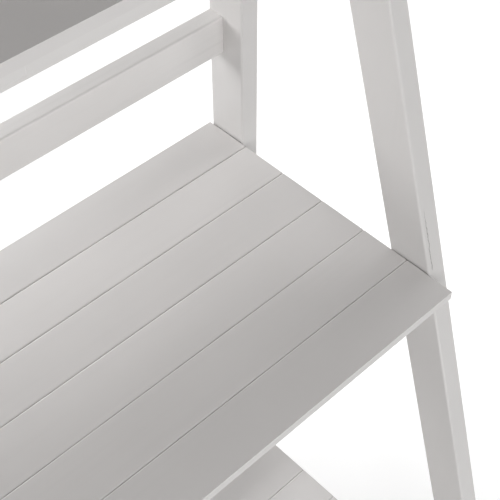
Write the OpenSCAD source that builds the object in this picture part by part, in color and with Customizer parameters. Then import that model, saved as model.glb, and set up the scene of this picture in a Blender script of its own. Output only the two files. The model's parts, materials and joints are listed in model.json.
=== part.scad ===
// Folding A-frame ladder shelf in painted wood.
// Two rear posts carry three slatted shelves on pivot bolts and a fixed top shelf.
// Two sloping front legs hang on hinges at the top, and their cross rails hold the
// shelves up. The shelves swing up between the posts, then the legs fold back.
// Front is -Y, right is +X, the floor is Z = 0.

/* [Shelves] */
// Width of the shelf panels, along the slats
shelf_w = 600; // [400:10:900]
// Width of one slat with its joint
slat_pitch = 50; // [35:1:60]
// Thickness of a slat
slat_t = 9; // [7:0.5:14]
// Open joint between two slats
slat_gap = 0.5; // [0.3:0.1:2]
// Chamfer on a slat's top edges where it meets another slat
slat_chamfer = 1.5; // [0.5:0.1:2]
// Chamfer on a shelf's outer top edges
slat_ease = 0.5; // [0.3:0.1:1]
// Height of the lower shelf's top face
lower_z = 180; // [150:1:240]
// Height of the lower bay beyond the depth of its shelf, which folds up in it
lower_spare = 10; // [10:1:60]
// Height of the middle bay beyond the depth of its shelf
middle_spare = 48; // [30:1:100]
// Height of the hinge pins above the upper shelf's top face
upper_rise = 228; // [205:1:280]

/* [Battens] */
// Width of a batten under the slats
batten_w = 18; // [14:1:24]
// Height of a batten under the slats
batten_h = 18; // [16:1:24]
// Length of the stop block in front of a cross rail
stop_len = 8; // [6:1:8]
// Depth of the stop block below the batten
stop_h = 6; // [5:1:6]

/* [Rear frame] */
// Thickness of a post, across the shelf
post_w = 20; // [16:1:24]
// Depth of a post, front to back
post_d = 42; // [42:1:54]
// Radius on the long edges of posts, legs and rails
board_round = 2; // [1:0.5:4]
// How far the shelves stand behind the posts
back_overhang = 2; // [0:0.5:10]
// Thickness of a back rail
rail_t = 18; // [14:1:18]
// Height of a back rail
rail_h = 39; // [24:1:60]
// Height of a back rail's lower edge above its shelf
rail_rise = 92; // [60:1:110]

/* [Front frame] */
// Least distance that a shelf stands out in front of the legs
front_overhang = 27; // [16:1:32]
// Thickness of a leg, across the shelf
leg_w = 20; // [16:1:24]
// Depth of a leg, square to its length
leg_d = 41; // [36:1:48]
// Thickness of a front cross rail
cross_t = 18; // [12:1:20]
// Height of a front cross rail
cross_h = 28; // [18:1:30]
// How far a cross rail stands behind the legs' front faces
cross_setback = 18; // [12:0.5:18]

/* [Hardware] */
// Diameter of a hinge pin
pin_d = 3; // [2:0.5:4]
// Thickness of a hinge leaf
leaf_t = 1.2; // [1:0.1:1.5]
// Length of a hinge leaf down its board
leaf_len = 46; // [34:1:60]
// Diameter of a pivot bolt's shank
bolt_d = 6; // [5:0.5:7]
// Diameter of a pivot bolt's head
bolt_head_d = 10; // [9:0.5:12]
// Diameter of a rail bolt's shank
rail_bolt_d = 6; // [4:0.5:7]
// Length of a rail bolt in its rail
rail_bolt_grip = 36; // [20:1:50]
// Diameter of a slat screw's shank
screw_d = 3; // [2.5:0.5:4]
// Diameter of a floor glide
glide_d = 16; // [12:1:17]
// Thickness of a floor glide
glide_t = 3; // [2:0.5:6]

/* [Clearances] */
// Gap between a shelf's end and the frame beside it
side_gap = 1.5; // [1:0.1:3]
// Gap under a shelf that hangs over its cross rail
rest_gap = 0.4; // [0.3:0.1:1]
// Radial clearance of a bolt, screw or pin in its hole
fit = 0.05; // [0.02:0.01:0.1]
// Gap between the pin's axis and each board's face
pin_offset = 1.7; // [1.6:0.1:2.5]
// Gap between neighbouring hinge knuckles
knuckle_gap = 0.4; // [0.3:0.1:1]
// Distance of the boards' top ends below the hinge pins
pin_drop = 4.5; // [4:0.5:8]

/* [Hidden] */
$fn = 48;

paint = [0.93, 0.92, 0.91];
steel = [0.72, 0.72, 0.74];
dark = [0.25, 0.25, 0.26];
eps = 0.01;

// Slats in each shelf
lower_slats = 9;
middle_slats = 6;
upper_slats = 4;
top_slats = 2;
// Heights of the shelves' top faces and of the hinge pins
middle_z = lower_z + lower_slats * slat_pitch + lower_spare;
upper_z = middle_z + middle_slats * slat_pitch + middle_spare;
pin_z = upper_z + upper_rise;
shelf_zs = [lower_z, middle_z, upper_z];
// Across the shelf
side_x = shelf_w / 2 + side_gap;              // inner faces of posts and legs
total_w = 2 * (side_x + max(post_w, leg_w));
// Slope of the legs from upright, so that they pass behind the front of every shelf
pin_to_back = pin_offset + post_d + back_overhang;
leg_reach = pin_offset + leg_d;
function lean_behind(n, top_z) =
    let (run = n * slat_pitch - pin_to_back - front_overhang, drop = pin_z - top_z)
    acos(leg_reach / norm([run, drop])) - atan2(drop, run);
lean = min(
    lean_behind(lower_slats, lower_z),
    lean_behind(middle_slats, middle_z),
    lean_behind(upper_slats, upper_z)
);
// Front to back, measured from the hinge pins
foot_reach = leg_reach / cos(lean) + (pin_z - glide_t) * tan(lean);
reach = max(foot_reach, lower_slats * slat_pitch - pin_to_back);
back_y = (reach + pin_to_back) / 2;           // back edges of the shelves
post_back_y = back_y - back_overhang;
post_front_y = post_back_y - post_d;
pin_y = post_front_y - pin_offset;
// Heights
wood_top_z = pin_z - pin_drop;
cleat_h = 18;
knuckle_r = pin_d / 2 + 1.5;
knuckle_relief = pin_drop + knuckle_r + 0.8;
// Places of the parts that carry a shelf
pivot_drop = slat_t + min(6, batten_h / 3);   // pivot axis below the shelf's top
pivot_y = post_back_y - rail_t - 2 - pivot_drop;
batten_x = shelf_w / 2 - batten_w / 2;
batten_xs = [-batten_x, 0, batten_x];
hinge_board = min(post_w, leg_w);             // the hinge suits the thinner board
hinge_x = side_x + hinge_board / 2;
leaf_w = hinge_board - 3;
rail_bolt_rise = rail_h / 4;                  // a back rail's bolts above and below its middle

// Front face of the legs at a height, in use
function leg_front_y(z) = pin_y - leg_reach / cos(lean) - (pin_z - z) * tan(lean);
// Middle of a shelf's cross rail
function cross_z(top_z) = top_z - slat_t - batten_h - rest_gap - cross_h / 2;
function cross_y(top_z) = leg_front_y(cross_z(top_z)) + cross_setback + cross_t / 2;
function slat_y(i) = back_y - (i - 0.5) * slat_pitch;
function slat_ys(n) = [for (i = [1 : n]) slat_y(i)];
// Screws of the top shelf: those over the posts go between the dowels
function top_screw_y(i) = i == 1 ? post_back_y - post_d / 2 : slat_y(i);

// A rectangle with rounded corners, centred
module rounded_rect(w, h, r) {
    union() {
        square([w - 2 * r, h], center = true);
        square([w, h - 2 * r], center = true);
        for (x = [-1, 1], y = [-1, 1])
            translate([x * (w / 2 - r), y * (h / 2 - r)]) circle(r = r);
    }
}

// A bar along X with a rounded section
module bar_x(len, depth, height, r) {
    rotate([90, 0, 90]) translate([0, 0, -len / 2])
        linear_extrude(height = len) rounded_rect(depth, height, r);
}

// A round pin along X, from one place to another
module pin_x(x0, x1, r) {
    translate([min(x0, x1), 0, 0]) rotate([0, 90, 0]) cylinder(r = r, h = abs(x1 - x0));
}

// ---------- Slats and battens ----------

// A slat's edges beside another slat are chamfered, a shelf's outer edges only eased
module slat(len, back, front) {
    w = slat_pitch - slat_gap;
    rotate([90, 0, 90]) translate([0, 0, -len / 2]) linear_extrude(height = len)
        polygon([
            [-w / 2, -slat_t], [w / 2, -slat_t],
            [w / 2, -back], [w / 2 - back, 0],
            [-w / 2 + front, 0], [-w / 2, -front]
        ]);
}

// Screw holes or screws in the slat over y, driven up through the battens
module slat_screw_places(y, top_z, xs) {
    for (x = xs) translate([x, y, top_z - slat_t]) children();
}

module shelf_slat(i, n, top_z, len, xs, screw_y) {
    color(paint) difference() {
        translate([0, slat_y(i), top_z])
            slat(len, i == 1 ? slat_ease : slat_chamfer, i == n ? slat_ease : slat_chamfer);
        slat_screw_places(screw_y, top_z, xs) screw_hole();
    }
}

screw_bite = 5.5;                             // how far a slat screw enters the slat
screw_head_h = 2;
module screw_hole() {
    translate([0, 0, -eps]) cylinder(r = screw_d / 2 + fit, h = screw_bite + 0.3 + eps);
}

// A slat screw: its head lies flush in the batten's underside
module slat_screw(grip) {
    union() {
        translate([0, 0, -grip]) cylinder(r = screw_d / 2, h = grip + screw_bite);
        translate([0, 0, -grip])
            cylinder(r1 = screw_d, r2 = screw_d / 2, h = screw_head_h);
    }
}

module slat_screw_clearance(grip) {
    translate([0, 0, -grip]) cylinder(r = screw_d / 2 + fit, h = grip + eps);
    translate([0, 0, -grip]) cylinder(r1 = screw_d + fit, r2 = screw_d / 2 + fit, h = screw_head_h);
    translate([0, 0, -grip - 1]) cylinder(r = screw_d + fit, h = 1 + eps);
}

batten_inset = 14;                            // ends of a batten inside the shelf's edges
batten_back_y = back_y - batten_inset;
function shelf_front_y(n) = back_y - n * slat_pitch;

module batten(x, n, top_z, pivot) {
    front_y = shelf_front_y(n) + batten_inset;
    len = batten_back_y - front_y;
    color(paint) difference() {
        translate([x, (front_y + batten_back_y) / 2, top_z - slat_t - batten_h / 2])
            cube([batten_w, len, batten_h], center = true);
        for (i = [1 : n]) translate([x, slat_y(i), top_z - slat_t]) slat_screw_clearance(batten_h);
        if (pivot) translate([0, pivot_y, top_z - pivot_drop])
            pin_x(x - batten_w, x + batten_w, bolt_d / 2 + fit);
    }
}

// Blocks under the end battens that keep the cross rail from moving forward
module stop_blocks(top_z) {
    front = cross_y(top_z) - cross_t / 2;
    color(paint) for (x = [-batten_x, batten_x])
        translate([x - batten_w / 2, front - 0.6 - stop_len, top_z - slat_t - batten_h - stop_h])
            cube([batten_w, stop_len, stop_h]);
}

module slat_screws(ys, top_z, xs, grip) {
    color(steel) for (y = ys) slat_screw_places(y, top_z, xs) slat_screw(grip);
}

// ---------- Rear frame ----------

rail_bolt_head_h = 4;
rail_bolt_head_d = 10;

// Two bolts in each end of a back rail, one above the other
module back_rail_bolt_places(side) {
    for (top_z = shelf_zs, dz = [-rail_bolt_rise, rail_bolt_rise])
        translate([side * side_x, post_back_y - rail_t / 2, top_z + rail_rise + rail_h / 2 + dz])
            children();
}

// A bolt from the outer face of a side board of width w into a rail's end
module rail_bolt(side, w, grip) {
    union() {
        pin_x(-side * grip, side * (w - eps), rail_bolt_d / 2);
        pin_x(side * (w - rail_bolt_head_h), side * w, rail_bolt_head_d / 2);
    }
}

module rail_bolt_hole(side, w, grip) {
    pin_x(-side * (grip + 1), side * (w + 1), rail_bolt_d / 2 + fit);
    pin_x(side * (w - rail_bolt_head_h), side * (w + 1), rail_bolt_head_d / 2 + fit);
}

module pivot_places(side) {
    for (top_z = shelf_zs) translate([side * side_x, pivot_y, top_z - pivot_drop]) children();
}

pivot_head_h = 3;
// A pivot bolt: fast in the post, its shank reaches through the batten
module pivot_bolt(side) {
    union() {
        pin_x(-side * (side_gap + batten_w - 3), side * (post_w - eps), bolt_d / 2);
        pin_x(side * (post_w - pivot_head_h), side * post_w, bolt_head_d / 2);
    }
}

module pivot_bolt_hole(side) {
    pin_x(-side, side * (post_w + 1), bolt_d / 2 + fit);
    pin_x(side * (post_w - pivot_head_h), side * (post_w + 1), bolt_head_d / 2 + fit);
}

dowel_d = 8;
dowel_grip = 12;
dowel_ys = [-0.25, 0.25];
module top_dowel_places() {
    for (side = [-1, 1], f = dowel_ys)
        translate([side * (side_x + post_w / 2), post_back_y - post_d / 2 + f * post_d, wood_top_z])
            children();
}

module top_dowel(clearance) {
    translate([0, 0, -dowel_grip - (clearance > 0 ? 0.5 : 0)])
        cylinder(r = dowel_d / 2 + clearance, h = 2 * dowel_grip + (clearance > 0 ? 1 : 0));
}

module post(side) {
    color(paint) difference() {
        translate([side * (side_x + post_w / 2), post_back_y - post_d / 2, glide_t])
            linear_extrude(height = wood_top_z - glide_t)
                rounded_rect(post_w, post_d, board_round);
        back_rail_bolt_places(side) rail_bolt_hole(side, post_w, 0);
        pivot_places(side) pivot_bolt_hole(side);
        top_dowel_places() top_dowel(fit);
        post_hinge_screws(fit);
        rear_glide_places() glide_nail(fit);
    }
}

module back_rail(top_z) {
    color(paint) difference() {
        translate([0, post_back_y - rail_t / 2, top_z + rail_rise + rail_h / 2])
            bar_x(2 * side_x, rail_t, rail_h, board_round);
        for (side = [-1, 1]) back_rail_bolt_places(side) rail_bolt_hole(side, post_w, rail_bolt_grip);
    }
}

top_shelf_z = wood_top_z + cleat_h + slat_t;  // top face of the top shelf
top_xs = [-(side_x + post_w / 2), side_x + post_w / 2];
cleat_inset = 6;

// End cleats of the top shelf stand on the posts and step up over the hinges
module top_cleat(side) {
    x = side * (side_x + post_w / 2);
    front_y = back_y - top_slats * slat_pitch + cleat_inset;
    step_y = pin_y + knuckle_r + 1;
    color(paint) difference() {
        translate([x, 0, wood_top_z]) rotate([90, 0, 90]) translate([0, 0, -post_w / 2])
            linear_extrude(height = post_w) polygon([
                [post_back_y, 0], [post_back_y, cleat_h], [front_y, cleat_h],
                [front_y, knuckle_relief], [step_y, knuckle_relief], [step_y, 0]
            ]);
        for (i = [1 : top_slats])
            translate([x, top_screw_y(i), top_shelf_z - slat_t]) top_screw_clearance();
        top_dowel_places() top_dowel(fit);
    }
}

// The back slat's screws start inside the cleat, above the post
top_grip = cleat_h - knuckle_relief;
module top_screw_clearance() {
    slat_screw_clearance(top_grip);
    translate([0, 0, -cleat_h - 1])
        cylinder(r = screw_d + fit, h = cleat_h + 1 - top_grip + eps);
}

// ---------- Front frame ----------

// Places things in the frame of the legs: the pin is the origin, -Z runs down the
// legs and +Y is square to their back faces
module on_leg() {
    translate([0, pin_y, pin_z]) rotate([-lean, 0, 0]) children();
}

module leg(side) {
    len = pin_z / cos(lean) + leg_d;
    color(paint) difference() {
        intersection() {
            on_leg() translate([side * (side_x + leg_w / 2), -pin_offset - leg_d / 2, -len])
                linear_extrude(height = len + leg_d) rounded_rect(leg_w, leg_d, board_round);
            translate([-total_w, -2 * back_y, glide_t])
                cube([2 * total_w, 4 * back_y, wood_top_z - glide_t]);
        }
        cross_bolt_places(side) rail_bolt_hole(side, leg_w, 0);
        leg_hinge_screws(fit);
        front_glide_places() glide_nail(fit);
    }
}

module cross_bolt_places(side) {
    for (top_z = shelf_zs) translate([side * side_x, cross_y(top_z), cross_z(top_z)]) children();
}

module cross_rail(top_z) {
    color(paint) difference() {
        translate([0, cross_y(top_z), cross_z(top_z)]) bar_x(2 * side_x, cross_t, cross_h, board_round);
        for (side = [-1, 1]) cross_bolt_places(side) rail_bolt_hole(side, leg_w, rail_bolt_grip);
    }
}

// ---------- Top hinges ----------

// Each hinge has three knuckles: the outer two on the post's leaf
knuckle_len = (leaf_w - 2 * knuckle_gap) / 3;
leaf_top = knuckle_r + 1;                     // leaf starts this far below the pin's axis
screw_rows = [0.5, 0.84];
hinge_screw_d = 3;
hinge_screw_len = 13;
hinge_head_h = 0.9;

module hinge_places() {
    for (side = [-1, 1]) translate([side * hinge_x, 0, 0]) children();
}

// Places things in the frame of the posts: the pin is the origin
module on_post() {
    translate([0, pin_y, pin_z]) children();
}

module hinge_screw_places() {
    hinge_places() for (f = screw_rows) translate([0, 0, -leaf_len * f]) children();
}

// A knuckle with a web that joins it to a leaf lying at +Y of the pin
module knuckle(x, len) {
    translate([x, 0, 0]) difference() {
        union() {
            pin_x(-len / 2, len / 2, knuckle_r);
            translate([-len / 2, pin_offset - leaf_t, -leaf_top - 1])
                cube([len, leaf_t, leaf_top + 1]);
        }
        pin_x(-len, len, pin_d / 2 + fit);
    }
}

// A leaf lying against a board whose face is at +Y of the pin by pin_offset
module leaf(knuckles) {
    difference() {
        union() {
            translate([-leaf_w / 2, pin_offset - leaf_t, -leaf_len])
                cube([leaf_w, leaf_t, leaf_len - leaf_top]);
            for (k = knuckles) knuckle(k * (knuckle_len + knuckle_gap), knuckle_len);
        }
        for (f = screw_rows) translate([0, 0, -leaf_len * f]) hinge_screw_shape(fit);
    }
}

// A countersunk screw through a leaf into the board, along +Y
module hinge_screw_shape(clearance) {
    y0 = pin_offset - leaf_t;
    r = hinge_screw_d / 2;
    translate([0, y0, 0]) rotate([-90, 0, 0]) union() {
        cylinder(r = r + clearance, h = hinge_screw_len + (clearance > 0 ? 0.5 : 0));
        cylinder(r1 = r + 1.2 + clearance, r2 = r + clearance, h = hinge_head_h);
    }
}

module post_hinge_screws(clearance) {
    on_post() hinge_screw_places() hinge_screw_shape(clearance);
}

module leg_hinge_screws(clearance) {
    on_leg() mirror([0, 1, 0]) hinge_screw_places() hinge_screw_shape(clearance);
}

// ---------- Floor glides ----------

nail_d = 2.5;
nail_len = 12;
module rear_glide_places() {
    for (side = [-1, 1]) translate([side * (side_x + post_w / 2), post_back_y - post_d / 2, 0])
        children();
}

module front_glide_places() {
    y = leg_front_y(glide_t) + leg_d / cos(lean) / 2;
    for (side = [-1, 1]) translate([side * (side_x + leg_w / 2), y, 0]) children();
}

module glide_nail(clearance) {
    translate([0, 0, glide_t - eps])
        cylinder(r = nail_d / 2 + clearance, h = nail_len + (clearance > 0 ? 0.5 : 0));
}

module glide() {
    union() {
        cylinder(r1 = glide_d / 2 - 1, r2 = glide_d / 2, h = 1);
        translate([0, 0, 1]) cylinder(r = glide_d / 2, h = glide_t - 1);
        glide_nail(0);
    }
}

// ---------- Sub-parts ----------

function batten_x_of(place) = batten_xs[place + 1];

module left_post() { post(-1); }
module right_post() { post(1); }
module left_leg() { leg(-1); }
module right_leg() { leg(1); }
module top_left_cleat() { top_cleat(-1); }
module top_right_cleat() { top_cleat(1); }

module top_slat(i) { shelf_slat(i, top_slats, top_shelf_z, total_w, top_xs, top_screw_y(i)); }
module upper_slat(i) { shelf_slat(i, upper_slats, upper_z, shelf_w, batten_xs, slat_y(i)); }
module middle_slat(i) { shelf_slat(i, middle_slats, middle_z, shelf_w, batten_xs, slat_y(i)); }
module lower_slat(i) { shelf_slat(i, lower_slats, lower_z, shelf_w, batten_xs, slat_y(i)); }

module upper_batten(place) { batten(batten_x_of(place), upper_slats, upper_z, place != 0); }
module middle_batten(place) { batten(batten_x_of(place), middle_slats, middle_z, place != 0); }
module lower_batten(place) { batten(batten_x_of(place), lower_slats, lower_z, place != 0); }

module top_dowels() { color("tan") top_dowel_places() top_dowel(0); }

module pivot_bolts() {
    color(steel) for (side = [-1, 1]) pivot_places(side) pivot_bolt(side);
}

module back_rail_bolts() {
    color(steel) for (side = [-1, 1])
        back_rail_bolt_places(side) rail_bolt(side, post_w, rail_bolt_grip);
}

module cross_rail_bolts() {
    color(steel) for (side = [-1, 1])
        cross_bolt_places(side) rail_bolt(side, leg_w, rail_bolt_grip);
}

module post_hinge_leaves() { color(steel) on_post() hinge_places() leaf([-1, 1]); }
module leg_hinge_leaves() { color(steel) on_leg() mirror([0, 1, 0]) hinge_places() leaf([0]); }
module hinge_pins() {
    color(steel) on_post() hinge_places() pin_x(-leaf_w / 2, leaf_w / 2, pin_d / 2);
}

module rear_glides() { color(dark) rear_glide_places() glide(); }
module front_glides() { color(dark) front_glide_places() glide(); }

left_post();
right_post();
back_rail(lower_z);  // lower_back_rail
back_rail(middle_z);  // middle_back_rail
back_rail(upper_z);  // upper_back_rail
top_left_cleat();
top_right_cleat();
top_slat(1);  // top_slat_1
top_slat(2);  // top_slat_2
left_leg();
right_leg();
cross_rail(lower_z);  // lower_cross_rail
cross_rail(middle_z);  // middle_cross_rail
cross_rail(upper_z);  // upper_cross_rail
lower_batten(-1);  // lower_left_batten
lower_batten(0);  // lower_centre_batten
lower_batten(1);  // lower_right_batten
middle_batten(-1);  // middle_left_batten
middle_batten(0);  // middle_centre_batten
middle_batten(1);  // middle_right_batten
upper_batten(-1);  // upper_left_batten
upper_batten(0);  // upper_centre_batten
upper_batten(1);  // upper_right_batten
lower_slat(1);  // lower_slat_1
lower_slat(2);  // lower_slat_2
lower_slat(3);  // lower_slat_3
lower_slat(4);  // lower_slat_4
lower_slat(5);  // lower_slat_5
lower_slat(6);  // lower_slat_6
lower_slat(7);  // lower_slat_7
lower_slat(8);  // lower_slat_8
lower_slat(9);  // lower_slat_9
middle_slat(1);  // middle_slat_1
middle_slat(2);  // middle_slat_2
middle_slat(3);  // middle_slat_3
middle_slat(4);  // middle_slat_4
middle_slat(5);  // middle_slat_5
middle_slat(6);  // middle_slat_6
upper_slat(1);  // upper_slat_1
upper_slat(2);  // upper_slat_2
upper_slat(3);  // upper_slat_3
upper_slat(4);  // upper_slat_4
stop_blocks(lower_z);  // lower_stop_blocks
stop_blocks(middle_z);  // middle_stop_blocks
stop_blocks(upper_z);  // upper_stop_blocks
slat_screws(slat_ys(lower_slats), lower_z, batten_xs, batten_h);  // lower_slat_screws
slat_screws(slat_ys(middle_slats), middle_z, batten_xs, batten_h);  // middle_slat_screws
slat_screws(slat_ys(upper_slats), upper_z, batten_xs, batten_h);  // upper_slat_screws
slat_screws([for (i = [1 : top_slats]) top_screw_y(i)], top_shelf_z, top_xs, top_grip);  // top_slat_screws
top_dowels();
pivot_bolts();
back_rail_bolts();
cross_rail_bolts();
post_hinge_leaves();
leg_hinge_leaves();
hinge_pins();
color(steel) post_hinge_screws(0);
color(steel) leg_hinge_screws(0);
rear_glides();
front_glides();
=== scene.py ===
"""A folding A-frame ladder shelf in satin white paint: its boards, fittings, finishes and stage.

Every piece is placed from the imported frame. Lengths are in metres, the front is -Y, the floor Z = 0.
"""

import json
import math
import random

import bmesh
import bpy
from bpy.props import FloatProperty, FloatVectorProperty, PointerProperty
from mathutils import Matrix, Vector


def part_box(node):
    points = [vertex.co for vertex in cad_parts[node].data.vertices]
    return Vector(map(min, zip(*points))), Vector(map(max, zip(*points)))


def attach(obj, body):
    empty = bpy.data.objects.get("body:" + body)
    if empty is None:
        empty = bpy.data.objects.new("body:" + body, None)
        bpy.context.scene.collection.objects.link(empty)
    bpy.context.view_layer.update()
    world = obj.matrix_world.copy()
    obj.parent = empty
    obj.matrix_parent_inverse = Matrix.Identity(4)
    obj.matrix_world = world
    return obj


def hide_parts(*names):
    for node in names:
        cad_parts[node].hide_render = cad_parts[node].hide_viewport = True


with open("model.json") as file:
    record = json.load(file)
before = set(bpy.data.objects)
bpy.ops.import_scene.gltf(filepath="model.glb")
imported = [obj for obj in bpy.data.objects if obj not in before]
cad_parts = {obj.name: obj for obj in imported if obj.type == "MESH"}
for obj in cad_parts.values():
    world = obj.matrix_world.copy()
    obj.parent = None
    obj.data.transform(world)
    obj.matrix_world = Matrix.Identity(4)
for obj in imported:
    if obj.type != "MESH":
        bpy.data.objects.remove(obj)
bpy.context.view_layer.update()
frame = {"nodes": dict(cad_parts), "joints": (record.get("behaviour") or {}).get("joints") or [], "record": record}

bl_info = {
    "name": "Folding ladder shelf",
    "version": (1, 0, 0),
    "blender": (4, 5, 0),
    "location": "3D View > Sidebar > Ladder Shelf",
    "description": "Painted boards, fittings and studio stage of a folding slatted ladder shelf",
    "category": "Add Mesh",
}

MM = 0.001
JOINTS = {joint["name"]: joint for joint in frame["joints"]}
SHELVES = ("lower", "middle", "upper")
SIDES = ("left", "right")
LEAN = math.radians(max(JOINTS["front_frame_fold"]["range_deg"]))
PIN = Vector(JOINTS["front_frame_fold"]["pos_m"])
SLAT_LOW, SLAT_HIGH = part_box("middle_slat_6")
# A hairline crack in one leg's paint: its length above the shelf, its place across the leg,
# how far it wanders, and how far in front of it the shelf's front edge lies
CRACK_LENGTH = 62 * MM
CRACK_INSET = 4.8 * MM
CRACK_WANDER = 3.4 * MM
CRACK_SETBACK = 45 * MM
# Radial clearance of a pivot bolt in its batten
BOLT_FIT = 0.05 * MM
# Height of each kind of bolt's head, which is also the depth of its seat
BOLT_HEADS = {"pivot_bolts": 3 * MM, "back_rail_bolts": 4 * MM, "cross_rail_bolts": 4 * MM}
# Seat of a slat screw in a batten: what its radius adds to the screw, and its depth
COUNTERSINK_RIM = 1.15 * MM
COUNTERSINK_DEPTH = 3.2 * MM
# Space between a hinge's knuckles and the step of the cleat above
KNUCKLE_SPACE = 2.5 * MM
# Size of each kind of piece's arris against the common one
ARRIS = {"slat": 0.7, "rail": 0.6, "frame": 1.4, "block": 1.2, "batten": 1.6}
# Strength of the painted highlight on an edge, and on the two edges of a groove: faint on a slat's front edge,
# strong on its back edge, which leans towards the lights behind
EDGE_HIGHLIGHT = 0.4
GROOVE_FRONT_HIGHLIGHT = 0.2
GROOVE_BACK_HIGHLIGHT = 2.4
# Faces that meet at more than this angle are shaded apart
SHARP_ANGLE = math.radians(32)
FLOOR_REACH = 30
# Painted light and shade: a board made lighter or darker than the paint's own tone where the light on it differs
# clearly
PAINTED_LIGHT_SHADES = {"middle_back_rail": 1.12, "middle_slat_1": 0.98, "middle_slat_2": 1.03, "middle_slat_6": 0.99}
# Range of the shades of all other boards
SHADE_SPREAD = 0.03


# ---------- Settings ----------


class PaintSettings(bpy.types.PropertyGroup):
    """The satin white paint on all the boards"""

    shelf_tone: FloatVectorProperty(
        name="Shelf tone",
        description="Paint on the slats and battens",
        subtype="COLOR",
        size=3,
        min=0,
        max=1,
        default=(0.640, 0.622, 0.612),
    )
    frame_tone: FloatVectorProperty(
        name="Frame tone",
        description="Paint on the posts, legs, rails and cleats",
        subtype="COLOR",
        size=3,
        min=0,
        max=1,
        default=(0.655, 0.640, 0.630),
    )
    gloss: FloatProperty(
        name="Roughness",
        description="Roughness of the dried paint",
        subtype="FACTOR",
        min=0,
        max=1,
        default=0.42,
    )
    texture: FloatProperty(
        name="Texture height",
        description="Height of the grain and brush marks that show through the paint",
        unit="LENGTH",
        min=0,
        max=0.001,
        default=0.00012,
    )


class BoardSettings(bpy.types.PropertyGroup):
    """How the boards' edges are worked"""

    groove: FloatProperty(
        name="Groove rounding",
        description="Radius along the top edges of a slat beside another",
        unit="LENGTH",
        default=1.5 * MM,
    )
    bridge: FloatProperty(
        name="Paint in the joints",
        description="How far paint builds a slat's side out into the joint",
        unit="LENGTH",
        default=0.22 * MM,
    )
    arris: FloatProperty(
        name="Arris",
        description="Radius that paint leaves on a sanded edge",
        unit="LENGTH",
        default=0.5 * MM,
    )
    rounding: FloatProperty(
        name="Board rounding",
        description="Radius on the long edges of posts, legs and rails",
        unit="LENGTH",
        default=2.0 * MM,
    )
    cleat_relief: FloatProperty(
        name="Cleat relief",
        description="Height of the step that clears the hinge knuckles",
        unit="LENGTH",
        default=8.3 * MM,
    )


class FittingSettings(bpy.types.PropertyGroup):
    """Sizes of the bolts, screws and glides"""

    bolt_d: FloatProperty(
        name="Bolt shank",
        description="Diameter of the bolts",
        unit="LENGTH",
        default=6 * MM,
    )
    head_d: FloatProperty(
        name="Bolt head",
        description="Diameter of the bolts' heads",
        unit="LENGTH",
        default=10 * MM,
    )
    socket: FloatProperty(
        name="Socket",
        description="Width across the socket's flats",
        unit="LENGTH",
        default=4 * MM,
    )
    screw_d: FloatProperty(
        name="Screw",
        description="Diameter of the slat screws",
        unit="LENGTH",
        default=3 * MM,
    )
    zinc: FloatVectorProperty(
        name="Zinc",
        description="Colour of the zinc plating",
        subtype="COLOR",
        size=3,
        min=0,
        max=1,
        default=(0.62, 0.62, 0.63),
    )
    glide: FloatVectorProperty(
        name="Glide",
        description="Colour of the floor glides",
        subtype="COLOR",
        size=3,
        min=0,
        max=1,
        default=(0.030, 0.030, 0.033),
    )


class StageSettings(bpy.types.PropertyGroup):
    """Camera, lights and floor"""

    camera_offset: FloatVectorProperty(
        name="Camera place",
        description="From the middle shelf's front right top corner",
        subtype="TRANSLATION",
        unit="LENGTH",
        size=3,
        default=(-0.5257, -0.3054, 0.6878),
    )
    heading: FloatProperty(
        name="Heading",
        description="Direction of view from +X, turning to +Y",
        subtype="ANGLE",
        default=math.radians(46.25),
    )
    tilt: FloatProperty(
        name="Tilt",
        description="Direction of view below the horizon",
        subtype="ANGLE",
        default=math.radians(47.44),
    )
    angle: FloatProperty(
        name="Field of view",
        description="Angle across the picture",
        subtype="ANGLE",
        default=math.radians(26.02),
    )
    floor_tone: FloatVectorProperty(
        name="Floor",
        description="Colour of the floor",
        subtype="COLOR",
        size=3,
        min=0,
        max=1,
        default=(0.93, 0.93, 0.93),
    )
    floor_glow: FloatProperty(
        name="Floor glow",
        description="Light given off by the floor itself, which keeps it white",
        default=0.2,
        min=0,
    )
    sky: FloatProperty(
        name="Room light",
        description="Strength of the even light",
        default=0.06,
        min=0,
    )


# ---------- Materials ----------


def new_material(name):
    """An empty node material with its shader and output joined."""
    material = bpy.data.materials.new(name)
    material.use_nodes = True
    nodes = material.node_tree.nodes
    nodes.clear()
    shader = nodes.new("ShaderNodeBsdfPrincipled")
    output = nodes.new("ShaderNodeOutputMaterial")
    material.node_tree.links.new(shader.outputs["BSDF"], output.inputs["Surface"])
    return material, shader


def add_noise(tree, vector, scale, detail, roughness=0.5):
    """A noise texture on a vector output."""
    noise = tree.nodes.new("ShaderNodeTexNoise")
    noise.inputs["Scale"].default_value = scale
    noise.inputs["Detail"].default_value = detail
    noise.inputs["Roughness"].default_value = roughness
    tree.links.new(vector, noise.inputs["Vector"])
    return noise.outputs["Fac"]


def add_range(tree, value, low, high, to_low, to_high):
    """Maps a value from one range to another, held at the ends."""
    node = tree.nodes.new("ShaderNodeMapRange")
    node.inputs["From Min"].default_value = low
    node.inputs["From Max"].default_value = high
    node.inputs["To Min"].default_value = to_low
    node.inputs["To Max"].default_value = to_high
    tree.links.new(value, node.inputs["Value"])
    return node.outputs["Result"]


def add_math(tree, operation, first, second):
    """A math node between an output and another output or a number."""
    node = tree.nodes.new("ShaderNodeMath")
    node.operation = operation
    tree.links.new(first, node.inputs[0])
    if isinstance(second, (int, float)):
        node.inputs[1].default_value = second
    else:
        tree.links.new(second, node.inputs[1])
    return node.outputs[0]


def add_mix(tree, factor, first, second):
    """Mixes two colours, given as colours or outputs."""
    node = tree.nodes.new("ShaderNodeMix")
    node.data_type = "RGBA"
    tree.links.new(factor, node.inputs["Factor"])
    for socket, colour in ((node.inputs[6], first), (node.inputs[7], second)):
        if isinstance(colour, bpy.types.NodeSocket):
            tree.links.new(colour, socket)
        else:
            socket.default_value = (*colour, 1)
    return node.outputs[2]


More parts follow.
